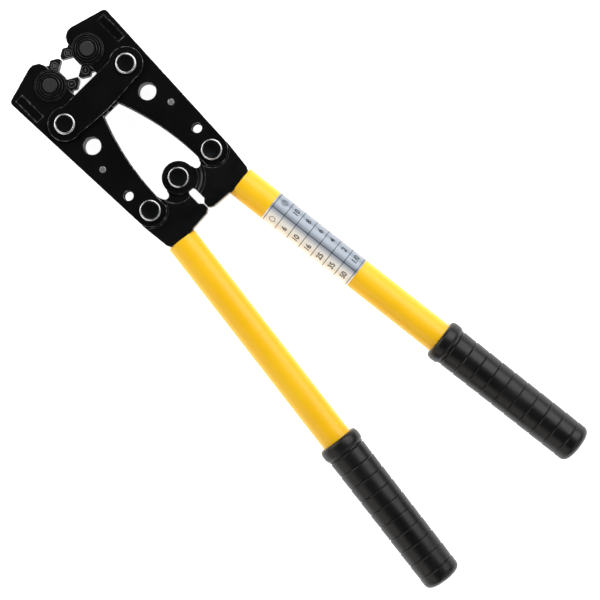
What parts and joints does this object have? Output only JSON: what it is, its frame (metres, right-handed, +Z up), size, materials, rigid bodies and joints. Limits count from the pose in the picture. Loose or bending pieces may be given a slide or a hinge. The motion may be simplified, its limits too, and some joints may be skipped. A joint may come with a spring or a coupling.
{
  "type": "crimping tool",
  "caption": "Long-handled hand crimper for cable lugs: two plated jaws with turning hexagonal dies, closed by a toggle linkage through yellow tubular handles with black grips.",
  "frame": {"origin": "under the middle of the closed tool, on the surface it lies on", "axes": "+Y from the grips to the jaws, +X to the right seen from the front face, +Z up out of the front face"},
  "size_m": [0.1336, 0.3881, 0.026],
  "materials": {
    "black_steel": "semi-gloss black oxide over ground plate",
    "dark_steel": "oiled black oxide",
    "die_steel": "hardened steel with a worn black oxide",
    "bright_steel": "bare turned steel",
    "yellow_paint": "gloss yellow enamel",
    "grip_rubber": "satin moulded rubber",
    "chart_foil": "gloss laminated foil"
  },
  "bodies": {
    "linkage": {"link_plate_front": "black_steel", "link_plate_rear": "black_steel", "jaw_pivot_bolts": "bright_steel", "jaw_pivot_nuts": "bright_steel"},
    "right_jaw": {"right_cheek_front": "black_steel", "right_cheek_rear": "black_steel", "right_core": "dark_steel", "right_rivet": "bright_steel", "right_die_pin": "bright_steel", "right_die_collars": "die_steel", "right_spring_bar": "dark_steel", "right_die_spring": "bright_steel", "right_tail_bolt": "bright_steel", "right_tail_nut": "bright_steel"},
    "right_die_turret": {"right_die": "die_steel"},
    "right_handle": {"right_head": "black_steel", "right_tube": "yellow_paint", "right_grip": "grip_rubber", "size_chart": "chart_foil", "centre_bolt": "bright_steel", "centre_nut": "bright_steel"},
    "left_jaw": {"left_cheek_front": "black_steel", "left_cheek_rear": "black_steel", "left_core": "dark_steel", "left_rivet": "bright_steel", "left_die_pin": "bright_steel", "left_die_collars": "die_steel", "left_spring_bar": "dark_steel", "left_die_spring": "bright_steel", "left_tail_bolt": "bright_steel", "left_tail_nut": "bright_steel"},
    "left_die_turret": {"left_die": "die_steel"},
    "left_handle": {"left_head": "black_steel", "left_tube": "yellow_paint", "left_grip": "grip_rubber"}
  },
  "joints": [
    {"name": "right_handle_turn", "type": "hinge", "parent": "right_jaw", "child": "right_handle", "pos_m": [0.02535, 0.08455, 0.013], "axis": [0, 0, 1], "range_deg": [0, 56.2]},
    {"name": "left_handle_turn", "type": "hinge", "parent": "left_jaw", "child": "left_handle", "pos_m": [-0.02535, 0.08455, 0.013], "axis": [0, 0, 1], "range_deg": [-56.2, 0]},
    {"name": "right_jaw_turn", "type": "hinge", "parent": "linkage", "child": "right_jaw", "pos_m": [0.0252, 0.1557, 0.013], "axis": [0, 0, 1], "range_deg": [-5.9, 0]},
    {"name": "left_jaw_turn", "type": "hinge", "parent": "linkage", "child": "left_jaw", "pos_m": [-0.0252, 0.1557, 0.013], "axis": [0, 0, 1], "range_deg": [0, 5.9]},
    {"name": "right_die_turn", "type": "hinge", "parent": "right_jaw", "child": "right_die_turret", "pos_m": [0.0153, 0.1778, 0.013], "axis": [0, 0, 1], "range_deg": [0, 300], "deforming": ["right_die_spring"]},
    {"name": "left_die_turn", "type": "hinge", "parent": "left_jaw", "child": "left_die_turret", "pos_m": [-0.0153, 0.1778, 0.013], "axis": [0, 0, 1], "range_deg": [0, 300], "deforming": ["left_die_spring"]}
  ],
  "couplings": [
    {"joint": "left_handle_turn", "follows": "right_handle_turn", "ratio": -1},
    {"joint": "right_jaw_turn", "follows": "right_handle_turn", "ratio": -0.10494},
    {"joint": "left_jaw_turn", "follows": "right_handle_turn", "ratio": 0.10494}
  ]
}
